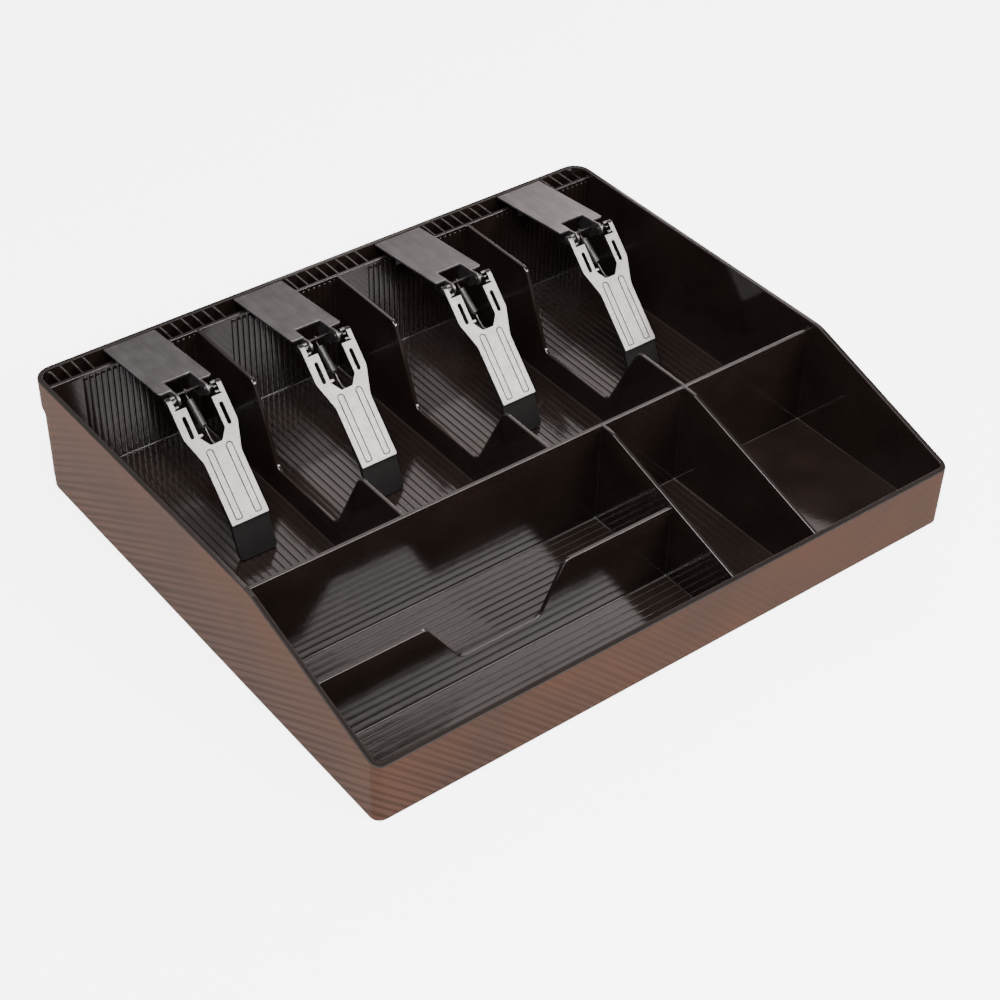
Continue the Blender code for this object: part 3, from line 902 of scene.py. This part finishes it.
def painted_wood_reflection_plastic():
    """Outer walls painted with the reflection of a wooden table in the black plastic: brown, with slanting
    darker streaks that are stronger near the foot and at the left.
    """
    made, tree, shader = new_material("tray_painted_wood_reflection_plastic", 0.42)
    where = position(tree)
    axes = tree.nodes.new("ShaderNodeSeparateXYZ")
    tree.links.new(where, axes.inputs["Vector"])
    # The painted reflection fades out upward from the foot and towards the right.
    upward = fade(tree, axes.outputs["Z"], 0.0, 0.055, 0.62, 0.12)
    reflection_strength_across = fade(tree, axes.outputs["X"], -0.162, 0.060, 0.90, 0.15)
    colour = tree.nodes.new("ShaderNodeMix")
    colour.data_type = "RGBA"
    amount = multiply(tree, painted_reflection_streaks(tree, where), multiply(tree, reflection_strength_across, upward))
    tree.links.new(amount, colour.inputs["Factor"])
    # The browns of the painted wood reflection; B is the darker colour of its streaks.
    light = [(0.35, (0.0435, 0.0234, 0.0166)), (0.65, (0.0355, 0.0216, 0.0171))]
    tree.links.new(ramp(tree, noise(tree, where, 22.0, 2.0), light), colour.inputs["A"])
    colour.inputs["B"].default_value = (0.0135, 0.0078, 0.0060, 1.0)
    tree.links.new(colour.outputs["Result"], shader.inputs["Base Color"])
    shader.inputs["IOR"].default_value = 1.035
    bump(tree, shader, noise(tree, where, 400.0, 3.0), 0.1, 0.0002)
    return made


def lever_metal():
    """Bright sheet with a fine even grain."""
    made, tree, shader = new_material("clip_bright_steel", 0.3, 1.0)
    fine = position(tree, (1.0, 0.35, 0.35))
    grain = noise(tree, fine, 2600.0, 4.0)
    two_tone(tree, shader, grain, (0.138, 0.130, 0.130), (0.230, 0.219, 0.219))
    uneven(tree, shader, noise(tree, position(tree), 300.0), 0.30, 0.44)
    bump(tree, shader, grain, 0.12, 0.0001)
    return made


def plate_metal():
    """Satin grey sheet with faint rolling streaks and light scuffs."""
    made, tree, shader = new_material("clip_satin_steel", 0.4, 1.0)
    streak = noise(tree, position(tree, (1.0, 0.08, 1.0)), 320.0, 4.0)
    cloud = noise(tree, position(tree), 90.0, 3.0)
    greys = [(0.12, (0.160, 0.147, 0.149)), (0.42, (0.230, 0.214, 0.216))]
    tree.links.new(ramp(tree, multiply(tree, streak, cloud), greys), shader.inputs["Base Color"])
    uneven(tree, shader, cloud, 0.34, 0.50)
    bump(tree, shader, streak, 0.08, 0.0001)
    return made


def dark_and_painted_shade_metal():
    """Blackened steel for the rod, and painted shade on the folds of the lever (its ears and bead grooves).
    """
    made, tree, shader = new_material("clip_dark_and_painted_shade_steel", 0.4, 1.0)
    two_tone(tree, shader, noise(tree, position(tree), 700.0), (0.030, 0.027, 0.026), (0.055, 0.050, 0.048))
    return made


def wire_metal():
    """Dark drawn wire."""
    made, tree, shader = new_material("clip_spring_steel", 0.5, 1.0)
    two_tone(tree, shader, noise(tree, position(tree), 900.0), (0.10, 0.092, 0.092), (0.17, 0.160, 0.158))
    return made


def pad_rubber():
    """Matt dark rubber with a fine pebbled skin."""
    made, tree, shader = new_material("clip_pad_rubber", 0.6)
    where = position(tree)
    skin = noise(tree, where, 500.0, 4.0)
    two_tone(tree, shader, skin, (0.0040, 0.0034, 0.0033), (0.0062, 0.0053, 0.0051))
    uneven(tree, shader, noise(tree, where, 200.0), 0.5, 0.7)
    shader.inputs["IOR"].default_value = 1.3
    bump(tree, shader, noise(tree, where, 1500.0, 2.0), 0.25, 0.0001)
    return made


def floor_paint():
    """Plain pale floor."""
    made, tree, shader = new_material("floor_paint", 0.6)
    two_tone(tree, shader, noise(tree, position(tree), 3.0), (0.90, 0.90, 0.90), (0.93, 0.93, 0.93))
    shader.inputs["Emission Color"].default_value = (1.0, 1.0, 1.0, 1.0)
    shader.inputs["Emission Strength"].default_value = 4.0
    return made


# Stage

def make_floor():
    """The floor that the tray stands on."""
    mesh = bmesh.new()
    bmesh.ops.create_grid(mesh, x_segments=1, y_segments=1, size=4.0)
    floor = new_object("floor", mesh)
    floor.location.z = tray_low.z - 0.0001
    floor.data.materials.append(floor_paint())


def direction_to(azimuth, elevation):
    """The direction in which something stands. Azimuth 0 is the front and 90 the right side, in degrees."""
    across, up = math.radians(azimuth), math.radians(elevation)
    return Vector((math.sin(across) * math.cos(up), -math.cos(across) * math.cos(up), math.sin(up)))


def make_camera():
    """The camera looks down at the tray from the front left."""
    target = Vector((-0.0201, -0.0329, 0.0300))
    distance = 0.9803
    roll = math.radians(1.740)
    back = direction_to(-38.603, 39.656)
    camera = bpy.data.objects.new("camera", bpy.data.cameras.new("camera"))
    bpy.context.scene.collection.objects.link(camera)
    camera.data.sensor_width = 36.0
    camera.data.lens = 78.0
    camera.data.clip_start = 0.05
    camera.rotation_mode = "QUATERNION"
    camera.rotation_quaternion = (-back).to_track_quat("-Z", "Y") @ Quaternion((0, 0, 1), roll)
    camera.location = target + back * distance
    bpy.context.scene.camera = camera


def make_light(name, azimuth, elevation, distance, width, height, power, colour):
    """A soft box that faces the tray. Angles in degrees, lengths in metres and power in watts."""
    light = bpy.data.lights.new(name, "AREA")
    light.shape = "RECTANGLE"
    light.size = width
    light.size_y = height
    light.energy = power
    light.color = colour
    made = bpy.data.objects.new(name, light)
    bpy.context.scene.collection.objects.link(made)
    back = direction_to(azimuth, elevation)
    made.location = back * distance
    made.rotation_mode = "QUATERNION"
    made.rotation_quaternion = (-back).to_track_quat("-Z", "Y")


def make_stage():
    """Floor, camera, sky and lights."""
    make_floor()
    make_camera()
    world = bpy.data.worlds.new("studio")
    bpy.context.scene.world = world
    world.use_nodes = True
    world.node_tree.nodes["Background"].inputs["Color"].default_value = (1.0, 0.99, 0.98, 1.0)
    world.node_tree.nodes["Background"].inputs["Strength"].default_value = 0.35
    make_light("key", -50, 68, 1.8, 1.2, 1.2, 80.0, (1.0, 1.0, 1.0))
    make_light("front_right", 32, 38, 1.5, 0.9, 0.42, 23.0, (1.0, 0.95, 0.94))
    make_light("rear_right", 133, 43, 1.5, 0.9, 0.54, 2.0, (1.0, 0.90, 0.89))
    make_light("rear_low", 123, 24, 1.5, 0.6, 0.30, 8.0, (1.0, 0.90, 0.89))


with open("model.json") as file:
    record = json.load(file)
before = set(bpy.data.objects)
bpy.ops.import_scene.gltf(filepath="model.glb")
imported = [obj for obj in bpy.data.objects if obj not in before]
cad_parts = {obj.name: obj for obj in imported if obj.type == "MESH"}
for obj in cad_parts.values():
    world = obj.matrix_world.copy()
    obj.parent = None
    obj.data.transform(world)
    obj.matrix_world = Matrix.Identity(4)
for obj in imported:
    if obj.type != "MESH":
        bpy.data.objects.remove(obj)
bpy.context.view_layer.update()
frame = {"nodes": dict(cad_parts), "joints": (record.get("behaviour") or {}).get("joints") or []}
tray_low, tray_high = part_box("tray")
pivot_y = frame["joints"][0]["pos_m"][1]
make_stage()
# The second material paints a wood reflection on the outer walls and underside.
make_tray([inside_plastic(), painted_wood_reflection_plastic(), rim_with_painted_sheen()])
make_clips(plate_metal(), lever_metal(), wire_metal(), dark_and_painted_shade_metal(), pad_rubber())
